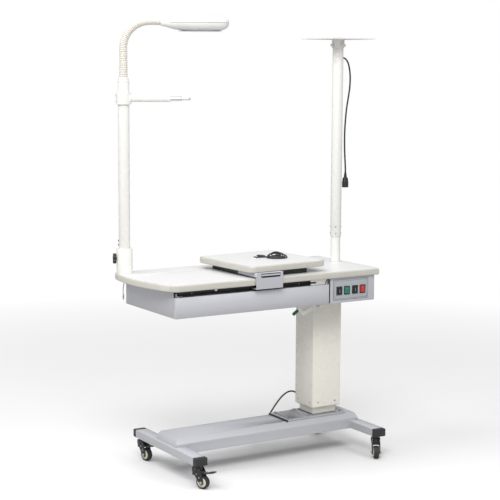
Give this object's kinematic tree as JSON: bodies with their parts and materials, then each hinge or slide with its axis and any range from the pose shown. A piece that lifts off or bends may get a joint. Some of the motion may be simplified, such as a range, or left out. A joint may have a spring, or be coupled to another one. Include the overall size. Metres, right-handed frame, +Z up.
{
  "type": "ophthalmic lift table",
  "caption": "Rolling lift table for eye examination, with a drawer, switches, sliding instrument platform, lamp on a flexible neck, refractor arm and projector mast with a tray.",
  "frame": {"origin": "floor level, at the middle of the whole outline seen from above", "axes": "+X along the table, away from the lamp pole; -Y towards the operator's side with the drawer and switches; +Z up"},
  "size_m": [1.0375, 0.5844, 1.7243],
  "materials": {
    "base_paint": "fine texture paint",
    "caps": "moulded",
    "plates": "satin",
    "fasteners": "zinc",
    "column_paint": "smooth paint",
    "actuator": "paint",
    "rod": "ground",
    "caster_black": "gloss paint",
    "wheel": "moulded",
    "pedal": "paint",
    "nylon": "moulded",
    "case_paint": "fine texture paint",
    "tray_sheet": "paint",
    "rail": "matt black",
    "laminate": "laminate with a moulded edge",
    "panel": "satin",
    "power_unit": "wound core",
    "pole_paint": "gloss paint",
    "cord_black": "moulded",
    "cord_grey": "moulded",
    "rocker_black": "moulded",
    "rocker_green": "moulded",
    "rocker_red": "moulded",
    "glides": "moulded",
    "knob": "moulded",
    "neck": "ribbed flexible tube",
    "lamp_shell": "moulded",
    "diffuser": "opal",
    "lever": "paint"
  },
  "bodies": {
    "base": {"cross_tubes": "base_paint", "tube_caps": "caps", "frame_rails": "base_paint", "base_cover": "base_paint", "foot_plates": "plates", "base_bolts": "fasteners", "inner_column": "column_paint", "actuator_body": "actuator", "caster_stems": "fasteners", "cable_gland": "caps", "mains_lead": "cord_black", "mains_coil": "cord_black", "mains_plug": "cord_black"},
    "table": {"outer_column": "column_paint", "glide_pads": "nylon", "actuator_rod": "rod", "table_case": "case_paint", "guide_rail": "rail", "tabletop": "laminate", "control_box": "case_paint", "control_panel": "panel", "power_supply": "power_unit", "pole_sockets": "pole_paint", "mast": "pole_paint", "set_screws": "fasteners", "lamp_lead": "cord_grey", "lamp_lead_plug": "cord_grey", "projector_lead": "cord_black", "projector_plug": "cord_black"},
    "drawer": {"drawer_front": "case_paint", "drawer_tray": "tray_sheet"},
    "platform": {"platform_board": "laminate", "platform_bracket": "case_paint", "platform_glides": "glides", "platform_coil": "cord_black", "platform_plug": "cord_black"},
    "lamp_pole": {"lamp_pole": "pole_paint", "neck_root": "neck"},
    "refractor_arm": {"refractor_arm": "pole_paint"},
    "clamp_knob": {"clamp_knob": "knob"},
    "neck_1": {"neck_link_1": "neck"},
    "neck_2": {"neck_link_2": "neck"},
    "lamp_head": {"lamp_head": "lamp_shell", "lamp_diffuser": "diffuser"},
    "tray": {"tray": "pole_paint"},
    "lock_lever": {"lock_lever": "lever"},
    "caster_fl": {"fork_fl": "caster_black"},
    "wheel_fl": {"wheel_fl": "wheel"},
    "pedal_fl": {"pedal_fl": "pedal"},
    "caster_bl": {"fork_bl": "caster_black"},
    "wheel_bl": {"wheel_bl": "wheel"},
    "pedal_bl": {"pedal_bl": "pedal"},
    "caster_fr": {"fork_fr": "caster_black"},
    "wheel_fr": {"wheel_fr": "wheel"},
    "caster_br": {"fork_br": "caster_black"},
    "wheel_br": {"wheel_br": "wheel"},
    "rocker_up": {"rocker_up": "rocker_black"},
    "rocker_power": {"rocker_power": "rocker_green"},
    "rocker_down": {"rocker_down": "rocker_black"},
    "rocker_lamp": {"rocker_lamp": "rocker_red"}
  },
  "joints": [
    {"name": "table_lift", "type": "slide", "parent": "base", "child": "table", "axis": [0, 0, 1], "range_m": [0, 0.2]},
    {"name": "caster_fl_swivel", "type": "hinge", "parent": "base", "child": "caster_fl", "pos_m": [-0.37375, -0.19834, 0.07], "axis": [0, 0, 1], "continuous": true},
    {"name": "wheel_fl_spin", "type": "hinge", "parent": "caster_fl", "child": "wheel_fl", "pos_m": [-0.36212, -0.21933, 0.025], "axis": [0.8746, 0.4848, 0], "continuous": true},
    {"name": "pedal_fl_press", "type": "hinge", "parent": "caster_fl", "child": "pedal_fl", "pos_m": [-0.36454, -0.21496, 0.06], "axis": [0.8746, 0.4848, 0], "range_deg": [0, 8]},
    {"name": "caster_bl_swivel", "type": "hinge", "parent": "base", "child": "caster_bl", "pos_m": [-0.37375, 0.23766, 0.07], "axis": [0, 0, 1], "continuous": true},
    {"name": "wheel_bl_spin", "type": "hinge", "parent": "caster_bl", "child": "wheel_bl", "pos_m": [-0.36876, 0.21418, 0.025], "axis": [0.9781, 0.2079, 0], "continuous": true},
    {"name": "pedal_bl_press", "type": "hinge", "parent": "caster_bl", "child": "pedal_bl", "pos_m": [-0.3698, 0.21907, 0.06], "axis": [0.9781, 0.2079, 0], "range_deg": [0, 8]},
    {"name": "caster_fr_swivel", "type": "hinge", "parent": "base", "child": "caster_fr", "pos_m": [0.43625, -0.19834, 0.07], "axis": [0, 0, 1], "continuous": true},
    {"name": "wheel_fr_spin", "type": "hinge", "parent": "caster_fr", "child": "wheel_fr", "pos_m": [0.42425, -0.21912, 0.025], "axis": [0.866, -0.5, 0], "continuous": true},
    {"name": "caster_br_swivel", "type": "hinge", "parent": "base", "child": "caster_br", "pos_m": [0.43625, 0.23766, 0.07], "axis": [0, 0, 1], "continuous": true},
    {"name": "wheel_br_spin", "type": "hinge", "parent": "caster_br", "child": "wheel_br", "pos_m": [0.43208, 0.21402, 0.025], "axis": [0.9848, -0.1736, 0], "continuous": true},
    {"name": "drawer_slide", "type": "slide", "parent": "table", "child": "drawer", "axis": [0, -1, 0], "range_m": [0, 0.28]},
    {"name": "platform_slide", "type": "slide", "parent": "table", "child": "platform", "axis": [1, 0, 0], "range_m": [-0.29, 0.165]},
    {"name": "rocker_up_tilt", "type": "hinge", "parent": "table", "child": "rocker_up", "pos_m": [0.26325, -0.17784, 0.677], "axis": [1, 0, 0], "range_deg": [-8, 8], "stiffness_Nm_per_rad": 0.05},
    {"name": "rocker_power_tilt", "type": "hinge", "parent": "table", "child": "rocker_power", "pos_m": [0.29925, -0.17784, 0.677], "axis": [1, 0, 0], "range_deg": [0, 16]},
    {"name": "rocker_down_tilt", "type": "hinge", "parent": "table", "child": "rocker_down", "pos_m": [0.33725, -0.17784, 0.677], "axis": [1, 0, 0], "range_deg": [-8, 8], "stiffness_Nm_per_rad": 0.05},
    {"name": "rocker_lamp_tilt", "type": "hinge", "parent": "table", "child": "rocker_lamp", "pos_m": [0.37325, -0.17784, 0.677], "axis": [1, 0, 0], "range_deg": [0, 16]},
    {"name": "lamp_pole_turn", "type": "hinge", "parent": "table", "child": "lamp_pole", "pos_m": [-0.47075, 0.19166, 0.753], "axis": [0, 0, 1], "range_deg": [-120, 120]},
    {"name": "refractor_arm_turn", "type": "hinge", "parent": "lamp_pole", "child": "refractor_arm", "pos_m": [-0.47075, 0.19166, 1.411], "axis": [0, 0, 1], "range_deg": [-60, 90]},
    {"name": "clamp_knob_turn", "type": "hinge", "parent": "table", "child": "clamp_knob", "pos_m": [-0.49673, 0.20666, 0.808], "axis": [-0.866, 0.5, 0], "range_deg": [0, 270]},
    {"name": "neck_bend_1", "type": "hinge", "parent": "lamp_pole", "child": "neck_1", "pos_m": [-0.47075, 0.19166, 1.598], "axis": [0.4924, 0.8704, 0], "range_deg": [-12, 12]},
    {"name": "neck_bend_2", "type": "hinge", "parent": "neck_1", "child": "neck_2", "pos_m": [-0.44575, 0.17752, 1.66732], "axis": [0.4924, 0.8704, 0], "range_deg": [-12, 12]},
    {"name": "neck_bend_3", "type": "hinge", "parent": "neck_2", "child": "lamp_head", "pos_m": [-0.3854, 0.14337, 1.696], "axis": [0.4924, 0.8704, 0], "range_deg": [-12, 12]},
    {"name": "tray_turn", "type": "hinge", "parent": "table", "child": "tray", "pos_m": [0.41125, 0.05966, 1.64], "axis": [0, 0, 1], "range_deg": [-90, 90]},
    {"name": "lock_lever_swing", "type": "hinge", "parent": "table", "child": "lock_lever", "pos_m": [0.19625, -0.13034, 0.62], "axis": [0, -1, 0], "range_deg": [0, 30]}
  ],
  "couplings": [
    {"joint": "neck_bend_2", "follows": "neck_bend_1", "ratio": 1},
    {"joint": "neck_bend_3", "follows": "neck_bend_1", "ratio": 1}
  ]
}
